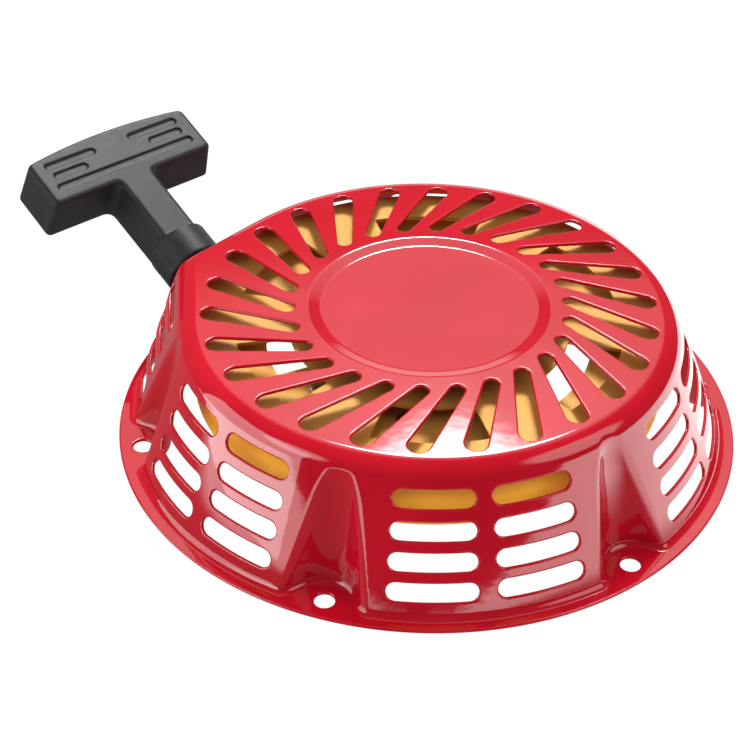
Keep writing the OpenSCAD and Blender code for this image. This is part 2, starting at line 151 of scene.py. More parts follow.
pose = Matrix.Rotation(math.radians(TURN), 4, "Z") @ Matrix.Rotation(math.radians(TILT), 4, "X")
pose = pose @ Matrix.Translation((0, 0, DISTANCE))
for axis, degrees in AIM:
    pose = pose @ Matrix.Rotation(math.radians(degrees), 4, axis)
camera = bpy.data.objects.new("camera", bpy.data.cameras.new("camera"))
camera.data.lens = LENS
camera.data.clip_start = 0.01
camera.matrix_world = pose
bpy.context.collection.objects.link(camera)
bpy.context.scene.camera = camera


# ---------------------------------------------------------------- mesh tools


class Shape:
    """Gathers vertices in millimetres, their normals, and faces."""

    def __init__(self):
        self.points, self.normals, self.faces, self.count = [], [], [], 0

    def add(self, points, normals):
        first = self.count
        self.points.append(np.asarray(points, float))
        self.normals.append(np.asarray(normals, float))
        self.count += len(points)
        return np.arange(first, self.count)

    def strip(self, a, b):
        """Quads between two closed rows; a runs anticlockwise seen from outside, with b on its left."""
        a, b = np.append(a, a[0]), np.append(b, b[0])
        self.faces += np.stack([a[:-1], a[1:], b[1:], b[:-1]], 1).tolist()

    def build(self, name, material, body, replaces=(), slot=None):
        """Object with this mesh; vertices in the same place are merged, and empty faces are dropped."""
        points = np.concatenate(self.points)
        _, first, where = np.unique(
            np.round(points * MERGE).astype(np.int64), axis=0, return_index=True, return_inverse=True
        )
        where = where.reshape(-1)
        faces = []
        for face in self.faces:
            loop = [int(where[i]) for i in face]
            loop = [v for i, v in enumerate(loop) if v != loop[i - 1]]
            if len(loop) > 2:
                faces.append(loop)
        mesh = bpy.data.meshes.new(name)
        mesh.from_pydata((points[first] * MM).tolist(), [], faces)
        mesh.materials.append(material)
        mesh.polygons.foreach_set("use_smooth", [True] * len(mesh.polygons))
        mesh.normals_split_custom_set_from_vertices(unit(np.concatenate(self.normals)[first]).tolist())
        piece = bpy.data.objects.new(name, mesh)
        bpy.context.collection.objects.link(piece)
        if body:
            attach(piece, body)
        if replaces:
            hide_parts(*replaces)
        return piece


def in_polygon(loop, points):
    """Which of the points lie inside a closed loop."""
    x, y = points[:, :1], points[:, 1:]
    (x0, y0), (x1, y1) = loop.T, np.roll(loop, -1, 0).T
    crosses = (y0 > y) != (y1 > y)
    at = x0 + (y - y0) * (x1 - x0) / np.where(y1 == y0, 1e-9, y1 - y0)
    return (crosses & (x < at)).sum(1) % 2 == 1


def triangulate(outer, holes, inner):
    """Triangles of the flat region inside the first outer loop and outside all other loops."""
    loops = outer + holes
    coords = np.concatenate(loops + [inner])
    edges, first = [], 0
    for loop in loops:
        n = len(loop)
        edges += [(first + i, first + (i + 1) % n) for i in range(n)]
        first += n
    verts, _, tris, source, _, _ = delaunay_2d_cdt([Vector(c) for c in coords], edges, [], 0, 1e-4)
    flat = np.array([coords[s[0]] if s else v[:] for v, s in zip(verts, source)])
    tris = np.array([t for t in tris if len(t) == 3])
    centre = flat[tris].mean(1)
    keep = in_polygon(outer[0], centre)
    for loop in outer[1:] + holes:
        keep &= ~in_polygon(loop, centre)
    return flat, tris[keep]


def normals_of(surface, u, v, h=0.01):
    """Unit normals by central differences."""
    along_u = surface(u + h, v) - surface(u - h, v)
    along_v = surface(u, v + h) - surface(u, v - h)
    return unit(np.cross(along_u, along_v))


def capsule(c0, r0, c1, r1, ends=10, sides=8):
    """Slot outline as centres, radii and directions, so that it can be grown by any distance."""
    c0, c1 = np.asarray(c0, float), np.asarray(c1, float)
    az = math.degrees(math.atan2(*(c1 - c0)[::-1]))
    lean = math.degrees(math.asin((r1 - r0) / np.linalg.norm(c1 - c0)))
    steps = np.linspace(0, 1, ends + 1)
    t = np.arange(1, sides) / sides
    turn = np.concatenate(
        [
            az - 90 - lean + steps * (180 + 2 * lean),
            np.full(sides - 1, az + 90 + lean),
            az + 90 + lean + steps * (180 - 2 * lean),
            np.full(sides - 1, az - 90 - lean),
        ]
    )
    mix = np.concatenate([np.ones(ends + 1), 1 - t, np.zeros(ends + 1), t])[:, None]
    return c0 + (c1 - c0) * mix, r0 + (r1 - r0) * mix, polar(1.0, turn)


def grown(outline, d):
    """Points of an outline moved out by d."""
    centre, radius, direction = outline
    return centre + (radius + d) * direction


def circle(center, r, n=32):
    """Round outline in the same form as a capsule's."""
    return np.tile(np.asarray(center, float), (n, 1)), np.full((n, 1), r), polar(1.0, np.arange(n) * 360 / n)


# ---------------------------------------------------------------- the pressed cover


def dome_z(r):
    """Height of the dome and its centre recess."""

    def bend(x):
        """Zero below zero and x above it, with a soft corner."""
        return np.where(x > RECESS_SOFT, x, np.clip(x + RECESS_SOFT, 0, None) ** 2 / (4 * RECESS_SOFT))

    slope = (DOME_Z - RECESS_FLOOR_Z) / (RECESS_R - RECESS_FLOOR_R)
    return RECESS_FLOOR_Z + slope * bend(r - RECESS_FLOOR_R) - (slope + DOME_FALL) * bend(r - RECESS_R)


def from_bolt(az):
    """Signed angle from the nearest bolt."""
    return np.mod(az, SECTOR) - SECTOR / 2


def wall_radius(az, z):
    """Outer radius of the wall: a cone with the rope boss added and six scoops taken out."""
    a = np.mod(az, 360)
    cone = WALL_R - WALL_TAPER * z

    # the boss: two planes that leave the cone along its tangents, and a third across their corner
    offs = (a - BOSS_AZ[0], BOSS_AZ[1] - a)
    sides = [cone / np.cos(np.radians(np.clip(off, 0, SIDE_SPAN))) for off in offs]
    off = np.radians(np.clip(a - CORNER_AZ, -CORNER_SPAN, CORNER_SPAN))
    corner = (CORNER_R - CORNER_TAPER * z) / np.cos(off)
    body = smin(smin(sides[0], sides[1], BOSS_SOFT), corner, BOSS_SOFT)

    # a scoop: a round back with flat flanks, w to the side of its middle
    off = np.radians(from_bolt(a))
    rise = np.clip(z / WALL_TOP, 0, 1)
    r = SCOOP_R - SCOOP_TAPER * z
    at = SCOOP_DEEP - SCOOP_LEAN * z + r
    w = at * np.abs(np.sin(off))
    flank = np.radians(between(SCOOP_FLANK, rise))
    bent = np.minimum(w, r * np.sin(flank))
    close = SCOOP_CLOSE * np.clip(z - SCOOP_CLOSE_Z, 0, None) ** 2
    scoop = at * np.cos(off) - np.sqrt(r**2 - bent**2) + np.tan(flank) * (w - bent) + close
    return smin(body, scoop, between(SCOOP_SOFT, rise))


def cylindrical(r, az, z):
    return np.concatenate([polar(r, az), np.asarray(z)[..., None]], -1)


def rim(az, phi):
    """Rounding from the dome, phi 0, to the wall, phi 90."""
    s, c = np.sin(np.radians(phi)), np.cos(np.radians(phi))
    z = np.full(np.shape(az), DOME_Z)
    for _ in range(8):  # the radius and the height depend on each other
        r = wall_radius(az, z) - RIM_IN * (1 - s)
        z = dome_z(r) - RIM_DOWN * (1 - c)
    return cylindrical(r, az, z)


def wall(az, z):
    return cylindrical(wall_radius(az, z), az, z)


def foot(az, phi):
    """Rounding from the wall, phi 90, to the flange, phi 0: wider inside the scoops."""
    rho = FOOT_R + FOOT_MORE * np.exp(-((from_bolt(az) / FOOT_WIDTH) ** 2))
    z = SHEET + rho * (1 - np.cos(np.radians(phi)))
    flat = (wall(az + 0.02, z) - wall(az - 0.02, z))[..., :2]
    out = unit(np.stack([flat[..., 1], -flat[..., 0]], -1))
    point = wall(az, z)
    point[..., :2] += (rho * (1 - np.sin(np.radians(phi))))[..., None] * out
    return point


def dome_surface(xy):
    """Points and normals of the dome over plan points."""
    r, h = np.linalg.norm(xy, axis=-1), 0.01
    slope = (dome_z(r + h) - dome_z(r - h)) / (2 * h)
    out = xy / np.maximum(r, 1e-6)[:, None]
    return np.column_stack([xy, dome_z(r)]), unit(np.column_stack([-out * slope[:, None], np.ones(len(r))]))


def wall_surface(flat):
    """Points and normals of the wall over flat wall coordinates."""
    az, z = np.degrees(flat[:, 0] / UNROLL), flat[:, 1]
    return wall(az, z), normals_of(wall, az, z)


def flange_surface(xy):
    """Points and normals of the flange over plan points."""
    return np.column_stack([xy, np.full(len(xy), SHEET)]), np.tile([0.0, 0.0, 1.0], (len(xy), 1))


def hole_edge(shape, surface, flatten, outline):
    """Rounded edge of a hole through the sheet, from the outer skin to the inner one."""
    rows = []
    start, _ = surface(flatten(grown(outline, EDGE_OUT)))
    mouth, _ = surface(flatten(grown(outline, 0)))
    inward = mouth - start

    # steps down the edge: distance out from the outline, depth, and the normal's parts up and across
    steps = [
        (EDGE_OUT * (1 - math.sin(t)), EDGE_OUT * (1 - math.cos(t)), math.cos(t), math.sin(t))
        for t in np.radians([0, 25, 50, 72, 90])
    ]
    steps += [
        (EDGE_IN * (1 - math.cos(t)), SHEET - EDGE_IN * (1 - math.sin(t)), -math.sin(t), math.cos(t))
        for t in np.radians([0, 45, 90])
    ]
    steps.append((EDGE_OUT, SHEET, -1, 0))
    for away, depth, up, across in steps:
        point, normal = surface(flatten(grown(outline, away)))
        side = unit(inward - (inward * normal).sum(1)[:, None] * normal)
        rows.append(shape.add(point - depth * normal, up * normal + across * side))
    for a, b in zip(rows, rows[1:]):
        shape.strip(a, b)


def skin_patch(shape, surface, outer, holes, inner):
    """Outer and inner skin over a flat region with holes."""
    flat, tris = triangulate(outer, holes, inner)
    point, normal = surface(flat)
    top = shape.add(point, normal)
    under = shape.add(point - SHEET * normal, -normal)
    shape.faces += top[tris].tolist() + under[tris[:, ::-1]].tolist()


def skin_rings(shape, rows):
    """Outer and inner skin between rows of points with normals, outermost row last."""
    tops = [shape.add(p, n) for p, n in rows]
    unders = [shape.add(p - SHEET * n, -n) for p, n in rows]
    for i in range(len(rows) - 1):
        shape.strip(tops[i + 1], tops[i])
        shape.strip(unders[i], unders[i + 1])


def clear_of(points, holes, room):
    """The points that lie outside every hole and no closer to it than room."""
    keep = np.ones(len(points), bool)
    for loop in holes:
        keep &= ~in_polygon(loop, points)
        gap = np.linalg.norm(points[:, None] - loop[None], axis=-1).min(1)
        keep &= gap > room
    return points[keep]


def bolt_to_bolt():
    """Directions round the cover, starting at the first bolt, closer together across the scoops."""
    half = np.concatenate([np.linspace(0, 11.9, 35), np.linspace(12.6, SECTOR / 2, 15)])
    one = np.concatenate([half[:-1], SECTOR - half[:0:-1]])
    return np.concatenate([SECTOR / 2 + SECTOR * k + one for k in range(BOLTS)])


ROUND = bolt_to_bolt()
RECESS_EDGE = 45.5  # radius where the recess is joined to the dome
RECESS_POINTS = 144


def add_recess(shape):
    """Centre recess in rings, the first one shrunk to a point."""
    floor_radii = [0.001, 9, 18, 26, 32, 36]
    lower_bend = [37.4, 37.95, 38.2, 38.5, 38.8, 39.05, 39.5]
    upper_bend = [41, 42, 42.45, 42.7, 43, 43.3, 43.55, 44.2]
    radii = floor_radii + lower_bend + upper_bend + [RECESS_EDGE]
    skin_rings(shape, [dome_surface(ring(r, RECESS_POINTS)) for r in radii])


def slot_outlines():
    """The dome's slots, each a step further round; a tip is the last point of a rounded end."""
    slots = []
    for k in range(SLOTS):
        back = -360 / SLOTS * k
        tip0, tip1 = polar(SLOT_IN[0], SLOT_IN[1] + back), polar(SLOT_OUT[0], SLOT_OUT[1] + back)
        way = unit(tip1 - tip0)
        slots.append(capsule(tip0 + way * SLOT_IN[2], SLOT_IN[2], tip1 - way * SLOT_OUT[2], SLOT_OUT[2]))
    return slots


def add_dome(shape):
    """Dome with its swirled slots, between the recess and the rim."""
    slots = slot_outlines()
    loops = [grown(slot, EDGE_OUT) for slot in slots]
    edge = rim(ROUND, np.zeros(len(ROUND)))[:, :2]
    grid = np.concatenate([ring(r, DOME_POINTS, (i % 2) * DOME_TWIST) for i, r in enumerate(DOME_RADII)])
    grid = clear_of(grid[in_polygon(edge * 0.985, grid)], loops, ROOM)
    skin_patch(shape, dome_surface, [edge, ring(RECESS_EDGE, RECESS_POINTS)], loops, grid)
    for slot in slots:
        hole_edge(shape, dome_surface, lambda flat: flat, slot)


def add_rim(shape):
    """Rounding between the dome and the wall."""
    rows = []
    for phi in np.arange(0, 91, 9.0):
        p = np.full(len(ROUND), phi)
        rows.append((rim(ROUND, p), -normals_of(rim, ROUND, p)))
    skin_rings(shape, rows)


def vent_cuts():
    """Outline of every vent, each with the function that lays it on the flat wall."""
    places = [(s + side * VENT_OFFSET, z) for s in VENT_SECTORS for side in (-1, 1) for z in VENT_ROWS]
    places += [(BOSS_SECTOR + VENT_OFFSET, z) for z in VENT_ROWS]
    places += [(BOSS_SECTOR - VENT_OFFSET, VENT_ROWS[0])]
    cuts = []
    for az, z0 in places:
        r = float(wall_radius(np.array(az), np.array(z0)))
        reach = r * math.sin(math.radians(VENT_ANGLE / 2)) - VENT_H / 2
        first = math.radians((az - ROUND[0]) % 360 + ROUND[0]) * UNROLL

        def flatten(uw, first=first, r=r, z0=z0):
            around = first + uw[:, 0] / r * UNROLL
            return np.column_stack([around, z0 + uw[:, 1] * math.cos(math.radians(WALL_EL))])

        cuts.append((capsule((-reach, 0), VENT_H / 2, (reach, 0), VENT_H / 2), flatten))
    return cuts


def guide_cut():
    """The rope guide's round hole, square to the side of the boss."""
    _, level, up = basis(BOSS_AZ[0], WALL_EL)

    def flatten(uw):
        p = EXIT + uw[:, :1] * level + uw[:, 1:] * up
        return np.column_stack([np.mod(np.arctan2(p[:, 1], p[:, 0]), 2 * math.pi) * UNROLL, p[:, 2]])

    return circle((0, 0), GUIDE_HOLE_R, 36), flatten


def add_wall(shape):
    """Wall with its vents and the rope's hole, laid flat from the first bolt round to itself."""
    cuts = vent_cuts() + [guide_cut()]
    loops = [flatten(grown(outline, EDGE_OUT)) for outline, flatten in cuts]
    az = np.append(ROUND, ROUND[0] + 360)
    top_z = rim(az, np.full(len(az), 90.0))[:, 2]
    foot_z = foot(az, np.full(len(az), 90.0))[:, 2]
    across = np.radians(az) * UNROLL
    side_z = foot_z[0] + (top_z[0] - foot_z[0]) * np.linspace(0, 1, SIDE_STEPS + 1)[1:-1]
    outer = np.concatenate(
        [
            np.column_stack([across, foot_z]),
            np.column_stack([np.full(len(side_z), across[-1]), side_z]),
            np.column_stack([across, top_z])[::-1],
            np.column_stack([np.full(len(side_z), across[0]), side_z[::-1]]),
        ]
    )
    heights = np.linspace(0, 1, WALL_STEPS + 1)[1:-1]
    grid = [np.column_stack([across, foot_z + (top_z - foot_z) * t])[1:-1] for t in heights]
    grid = clear_of(np.concatenate(grid), loops, WALL_ROOM)
    skin_patch(shape, wall_surface, [outer], loops, grid)
    for outline, flatten in cuts:
        hole_edge(shape, wall_surface, flatten, outline)


def add_foot(shape):
    """Rounding from the wall onto the flange; gives back its edge on the flange."""
    rows = []
    for phi in np.arange(90, -1, -15.0):
        p = np.full(len(ROUND), phi)
        normal = normals_of(foot, ROUND, p)
        rows.append((foot(ROUND, p), normal * np.sign(normal[:, 2:])))  # turned to point up
    skin_rings(shape, rows)
    return rows[-1][0][:, :2]


def add_flange(shape, inside):
    """Flange outside the foot of the wall, with its bolt holes and its rounded lip."""
    bolts = [circle(polar(BOLT_R, SECTOR / 2 + SECTOR * k), BOLT_HOLE_R) for k in range(BOLTS)]
    loops = [grown(bolt, EDGE_OUT) for bolt in bolts]
    lip_r, lip_points = SHEET / 2, 360
    outer = ring(FLANGE_R - lip_r, lip_points)
    grid = np.concatenate([ring(r, FLANGE_POINTS, r) for r in FLANGE_RADII])
    grid = clear_of(grid[~in_polygon(inside, grid)], loops + [inside], ROOM)
    skin_patch(shape, flange_surface, [outer, inside], loops, grid)
    for bolt in bolts:
        hole_edge(shape, flange_surface, lambda flat: flat, bolt)
    lip = []
    for t in np.radians(np.arange(0, 181, 30)):
        out = np.column_stack([ring(math.sin(t), lip_points), np.full(lip_points, math.cos(t))])
        lip.append(shape.add(np.column_stack([outer, np.full(lip_points, lip_r)]) + lip_r * out, out))
    for a, b in zip(lip, lip[1:]):
        shape.strip(b, a)


def make_cover():
    shape = Shape()
    add_recess(shape)
    add_dome(shape)
    add_rim(shape)
    add_wall(shape)
    inside = add_foot(shape)
    add_flange(shape, inside)
    return shape


# ---------------------------------------------------------------- the grip

# Millimetres, with x along the rope from its exit, y across and z up
BAR_X, BAR_D, BAR_ARCH, BAR_HALF, BAR_TOP = 47.8, 22.5, 3.4, 37.5, 9.5
BAR_EDGE, TOP_EDGE, MOULD_DRAFT = 2.2, 1.7, 0.11
STEM_HALF, STEM_ENDS, STEM_EDGE, STEM_FILLET = 9.3, (12, 60), 1, 4
THIN_START, THIN = 4, 0.015  # from this far inside the bar, the top falls this fast towards the collar
COLLAR_ENDS, COLLAR_R, COLLAR_EDGE, COLLAR_FILLET = (3.4, 16.9), 12.1, 1.0, 1.5
GROOVE_HALF, GROOVE_DEEP, GROOVE_EDGE = 1.55, 0.75, 0.5
GROOVES = [(17.4, y, 9.5) for y in (-18.8, 18.8)]  # distance behind the bar's front, middle, half length
GROOVES += [(12.2, y, 5.8) for y in (-21.7, 21.7)]
GROOVES += [(6.6, 0, 29.0)]
POCKET_R, BORE_R, BORE_EDGE = 7.5, 3, 0.8
GRIP_LOW, GRIP_HIGH = (2.4, -38.5, -12.9), (75, 38.5, 12.9)  # corners of a box round the grip
GRIP_CELL = 0.55  # size of the cells that the mesh is made from


def rounded(distances, r):
    """Distance to the common part of several half spaces, with its edges rounded."""
    q = [d + r for d in distances]
    over = np.sqrt(sum(np.maximum(d, 0) ** 2 for d in q))
    return over + np.minimum(np.maximum.reduce(q), 0) - r


def grip_distance(p):
    """Distance to the grip's surface, negative inside."""
    x, y, z = p[..., 0], p[..., 1], p[..., 2]
    draft = MOULD_DRAFT * (z + BAR_TOP)
    arch_r = (BAR_HALF**2 + BAR_ARCH**2) / 2 / BAR_ARCH
    back = np.hypot(x - (BAR_X + BAR_D + BAR_ARCH - arch_r), y) - arch_r
    front = BAR_X - x
    bar = rounded([np.maximum(front, back + draft * 0.5), np.abs(y) - BAR_HALF + draft], BAR_EDGE)
    stem = rounded([np.abs(y) - STEM_HALF + draft, x - STEM_ENDS[1], STEM_ENDS[0] - x], STEM_EDGE)
    plan = smin(bar, stem, STEM_FILLET)
    height = BAR_TOP - THIN * np.maximum(BAR_X + THIN_START - x, 0)
    body = rounded([plan, np.abs(z) - height], TOP_EDGE)
    middle, half = sum(COLLAR_ENDS) / 2, (COLLAR_ENDS[1] - COLLAR_ENDS[0]) / 2
    collar = rounded([np.hypot(y, z) - COLLAR_R, np.abs(x - middle) - half], COLLAR_EDGE)
    body = smin(body, collar, COLLAR_FILLET)
    for row, at, length in GROOVES:
        line = np.hypot(x - BAR_X - row, np.maximum(np.abs(y - at) - length, 0))
        groove = rounded([line - GROOVE_HALF, np.abs(z - BAR_TOP) - GROOVE_DEEP], GROOVE_EDGE)
        body = -smin(-body, groove, GROOVE_EDGE)
    pocket = np.maximum(np.hypot(y, z) - POCKET_R, KNOT_SEAT - x)
    bore = np.hypot(y, z) - BORE_R
    return -smin(smin(-body, pocket, BORE_EDGE), bore, BORE_EDGE)


def slopes(distance, p, h=0.02):
    """Gradient of a distance function by central differences."""
    return np.stack([distance(p + h * e) - distance(p - h * e) for e in np.eye(3)], -1) / (2 * h)


def surface_of(distance, low, high, step):
    """Smooth mesh of a distance function: one vertex in every cell that the surface crosses."""
    axes = [np.arange(a, b + step, step) for a, b in zip(low, high)]
    inside = distance(np.stack(np.meshgrid(*axes, indexing="ij"), -1)) < 0
    n = np.array(inside.shape) - 1
    total = sum(
        inside[i : n[0] + i, j : n[1] + j, k : n[2] + k].astype(int)
        for i in (0, 1) for j in (0, 1) for k in (0, 1)
    )
    mixed = (total > 0) & (total < 8)
    index = np.full(mixed.shape, -1)
    index[mixed] = np.arange(mixed.sum())
    start = np.argwhere(mixed) * step + np.array([a[0] for a in axes]) + step / 2
    p = start.copy()
    for _ in range(8):  # steps onto the surface, each vertex held near its own cell
        g = slopes(distance, p)
        p -= (distance(p) / np.maximum((g * g).sum(-1), 0.2))[:, None] * g
        p = np.clip(p, start - 0.6 * step, start + 0.6 * step)
    faces = []
    for axis in range(3):
        u, v = [a for a in range(3) if a != axis]
        cut = np.take(inside, range(n[axis]), axis) != np.take(inside, range(1, n[axis] + 1), axis)
        at = np.argwhere(cut)
        at = at[(at[:, u] > 0) & (at[:, v] > 0) & (at[:, u] < n[u]) & (at[:, v] < n[v])]
        shift = np.zeros((4, 3), int)
        shift[1, u] = shift[2, u] = shift[2, v] = shift[3, v] = -1
        quad = np.stack([index[tuple((at + s).T)] for s in shift], 1)
        flip = inside[tuple(at.T)] == (axis == 1)
        quad[flip] = quad[flip][:, ::-1]
        faces.append(quad)
    return p, unit(slopes(distance, p)), np.concatenate(faces)


def make_grip():
    points, normals, faces = surface_of(grip_distance, GRIP_LOW, GRIP_HIGH, GRIP_CELL)
    shape = Shape()
    shape.add(EXIT + points @ PULL_ROWS, normals @ PULL_ROWS)
    shape.faces = faces.tolist()
    return shape


# ---------------------------------------------------------------- rope


def tube(shape, path, radius, sides=24, strands=8, lay=7.0, relief=0.2):
    """Braided rope along a path: two sets of strands that cross over and under each other."""
    path = np.asarray(path, float)
    along = unit(np.gradient(path, axis=0))
    length = np.concatenate([[0], np.cumsum(np.linalg.norm(np.diff(path, axis=0), axis=1))])
    side = np.zeros_like(path)
    side[0] = unit(np.cross(along[0], [0.1, 0.2, 1.0]))  # any direction across the path will do
    for i in range(1, len(path)):
        side[i] = unit(side[i - 1] - along[i] * (side[i - 1] @ along[i]))
    other = np.cross(along, side)
    psi = np.arange(sides) / sides * 2 * math.pi
    around = strands * psi[None] / (2 * math.pi)
    u = around + length[:, None] / lay * strands / 2
    v = around - length[:, None] / lay * strands / 2

    # each strand is highest along its middle, and dips to pass under the next
    over = np.mod(np.floor(u) + np.floor(v), 2) == 0
    a, b = np.sin(math.pi * np.mod(u, 1)), np.sin(math.pi * np.mod(v, 1))
    high = np.where(over, a * (0.55 + 0.45 * b), b * (0.55 + 0.45 * a))
    r = radius - relief + relief * 1.4 * high
    out = np.cos(psi)[None, :, None] * side[:, None] + np.sin(psi)[None, :, None] * other[:, None]
    points = path[:, None] + r[..., None] * out
    across = np.roll(points, -1, 1) - np.roll(points, 1, 1)
    normals = unit(np.cross(across, np.gradient(points, axis=0)))
    rows = [shape.add(points[i], normals[i]) for i in range(len(path))]
    for p, q in zip(rows, rows[1:]):
        shape.strip(p, q)
    for end, way in ((0, -1), (-1, 1)):
        middle = shape.add([path[end]], [way * along[end]])[0]
        for p, q in zip(rows[end], np.roll(rows[end], -1)):
            shape.faces.append([p, q, middle] if way > 0 else [q, p, middle])


def resample(path, step):
    """Path with points about one step apart."""
    path = np.asarray(path, float)
    length = np.concatenate([[0], np.cumsum(np.linalg.norm(np.diff(path, axis=0), axis=1))])
    at = np.linspace(0, length[-1], max(int(length[-1] / step), 2))
    return np.column_stack([np.interp(at, length, path[:, i]) for i in range(3)])


EXIT_R, EXIT_AZ = math.hypot(*EXIT[:2]), math.degrees(math.atan2(EXIT[1], EXIT[0]))
LEAD_AZ = EXIT_AZ + math.degrees(math.acos(LEAD_R / EXIT_R))
LEAD_START = np.append(polar(LEAD_R, LEAD_AZ), EXIT[2])
BEND, LEAD_PAST = 4.5, 2  # half length of the bend in the guide, and the rope's reach past the knot's seat
COIL_TURNS, COIL_R, COIL_Z = 4, 63.4, 28.7
LAYER, PITCH = 4.8, 5.0  # from layer to layer, and from turn to turn
COIL_OUT, COIL_UP = 5.2, 0.5  # last step, to where the lead starts


def make_lead():
    """Rope from the drum, bent in the guide, to the knot in the grip."""
    before = unit(EXIT - LEAD_START)
    t = np.linspace(0, 1, 9)[:, None]
    bend = EXIT - before * BEND * (1 - t) ** 2 + PULL * BEND * t**2
    path = np.concatenate([[LEAD_START], bend, [EXIT + PULL * (KNOT_SEAT + LEAD_PAST)]])
    shape = Shape()
    tube(shape, resample(path, 0.45), ROPE_R)
    return shape


def make_coil():
    """Two layers of two turns, from the knot in the drum to the start of the lead."""
    t = np.linspace(0, COIL_TURNS, 1200)
    az = LEAD_AZ + 360 * (COIL_TURNS - t)

    def shift(at, width=0.18):
        """Smooth step from 0 to 1 that starts at a number of turns."""
        s = np.clip((t - at) / width, 0, 1)
        return s * s * (3 - 2 * s)

    # up to the second turn, out to the second layer, down to the fourth turn, and out to the lead
    r = COIL_R + LAYER * shift(1.9) + COIL_OUT * shift(3.8)
    z = COIL_Z + PITCH * shift(0.9) - PITCH * shift(2.9) + COIL_UP * shift(3.8)
    shape = Shape()
    tube(shape, resample(cylindrical(r, az, z), 0.8), ROPE_R - 0.05, sides=20)
    return shape


def make_knot(center, axis, size, radius):
    """A pulled-tight overhand knot: a trefoil with its three loops round the first row of axis."""
    t = np.linspace(0, 2 * math.pi, 200)[:-1]
    x = -np.sin(3 * t) * 1.5
    y = np.sin(t) + 2 * np.sin(2 * t)
    z = np.cos(t) - 2 * np.cos(2 * t)
    shape = Shape()
    tube(shape, np.asarray(center) + size * np.column_stack([x, y, z]) @ axis, radius, sides=20, lay=6)
    return shape


# ---------------------------------------------------------------- materials


def node(owner, kind, inputs=(), **settings):
    """New node in a material's or a world's tree; inputs are values or sockets to link."""
    made = owner.node_tree.nodes.new("ShaderNode" + kind)
    for key, value in settings.items():
        setattr(made, key, value)
    for key, value in dict(inputs).items():
        socket = made.inputs[key]
        if isinstance(value, bpy.types.NodeSocket):
            owner.node_tree.links.new(value, socket)
        else:
            socket.default_value = value
    return made


def new_material(name, color, roughness, **sockets):
    """Principled material and its shader; other sockets are given with _ in place of each space."""
    material = bpy.data.materials.new(name)
    material.use_nodes = True
    shader = material.node_tree.nodes["Principled BSDF"]
    values = {"Base Color": (*color, 1), "Roughness": roughness, **sockets}
    for key, value in values.items():
        shader.inputs[key.replace("_", " ")].default_value = value
    return material, shader


def noise(material, scale, detail=3.0, rough=0.5, stretch=None):
    """Noise in object coordinates; scale is in cycles per millimetre."""
    place = node(material, "TexCoord").outputs["Object"]
    if stretch:
        place = node(material, "Mapping", {"Vector": place, "Scale": stretch}).outputs[0]
    inputs = {"Vector": place, "Scale": scale / MM, "Detail": detail, "Roughness": rough}
    return node(material, "TexNoise", inputs).outputs["Fac"]


def mapped(owner, value, low, high):
    """Value that goes from low to high as another goes from 0 to 1."""
    return node(owner, "MapRange", {"Value": value, "To Min": low, "To Max": high}).outputs["Result"]


def mottle(material, shader, pattern, stops):
    """Base colour that changes with a pattern; stops are (place, colour)."""
    ramp = node(material, "ValToRGB", {"Fac": pattern})
    ends = ramp.color_ramp.elements
    while len(ends) < len(stops):
        ends.new(0.5)
    for end, (at, color) in zip(ends, stops):
        end.position = at
        end.color = (*color, 1)
    material.node_tree.links.new(ramp.outputs["Color"], shader.inputs["Base Color"])


def wear(material, shader, pattern, low, high):
    """Roughness that changes with a pattern."""
    material.node_tree.links.new(mapped(material, pattern, low, high), shader.inputs["Roughness"])


def bump(material, shader, height, depth, also=()):
    """Bump of the given depth in millimetres."""
    made = node(material, "Bump", {"Height": height, "Distance": depth * MM, "Strength": 1.0})
    for socket in ("Normal", *also):
        material.node_tree.links.new(made.outputs["Normal"], shader.inputs[socket])


def red_paint():
    material, shader = new_material(
        "red_paint", (0.62, 0.004, 0.012), 0.5, Specular_IOR_Level=0.0,
        Coat_Weight=1.0, Coat_Roughness=0.04, Coat_IOR=1.55,
    )
    stops = [(0.35, (0.41, 0.003, 0.011)), (0.65, (0.46, 0.0045, 0.016))]
    mottle(material, shader, noise(material, 0.03, 4), stops)
    bump(material, shader, noise(material, 0.22, 2, 0.4), 0.012, also=("Coat Normal",))
    return material


def zinc(name, tones, metallic):
    """Passivated zinc with soft clouds of five tones."""
    material, shader = new_material(name, tones[1], 0.4, Metallic=metallic)
    stops = list(zip((0.28, 0.42, 0.56, 0.68, 0.80), tones))
    mottle(material, shader, noise(material, 0.045, 6, 0.62), stops)
    wear(material, shader, noise(material, 0.5, 5, 0.6), 0.45, 0.75)
    bump(material, shader, noise(material, 0.8, 4, 0.6), 0.01)
    return material


def bare_metal(name, color, rough, grain):
    material, shader = new_material(name, color, rough, Metallic=1.0)
    dark, light = ([c * f for c in color] for f in (0.8, 1.12))
    mottle(material, shader, noise(material, grain * 0.3, 5, 0.6), [(0.35, dark), (0.65, light)])
    wear(material, shader, noise(material, grain, 6, 0.7, (1, 1, 6)), rough - 0.1, rough + 0.16)
    bump(material, shader, noise(material, grain * 2, 4), 0.006)
    return material


def black_plastic():
    material, shader = new_material("black_plastic", (0.018, 0.018, 0.020), 0.42)
    wear(material, shader, noise(material, 0.6, 4), 0.34, 0.52)
    bump(material, shader, noise(material, 1.6, 2), 0.012)
    return material


def black_rubber():
    material, shader = new_material("black_rubber", (0.012, 0.012, 0.013), 0.5, Specular_IOR_Level=0.42)
    stops = [(0.35, (0.009, 0.009, 0.010)), (0.65, (0.015, 0.015, 0.017))]
    mottle(material, shader, noise(material, 0.08, 5, 0.6), stops)
    wear(material, shader, noise(material, 0.35, 5, 0.6), 0.40, 0.56)
    bump(material, shader, noise(material, 1.3, 3, 0.6), 0.02)
    return material


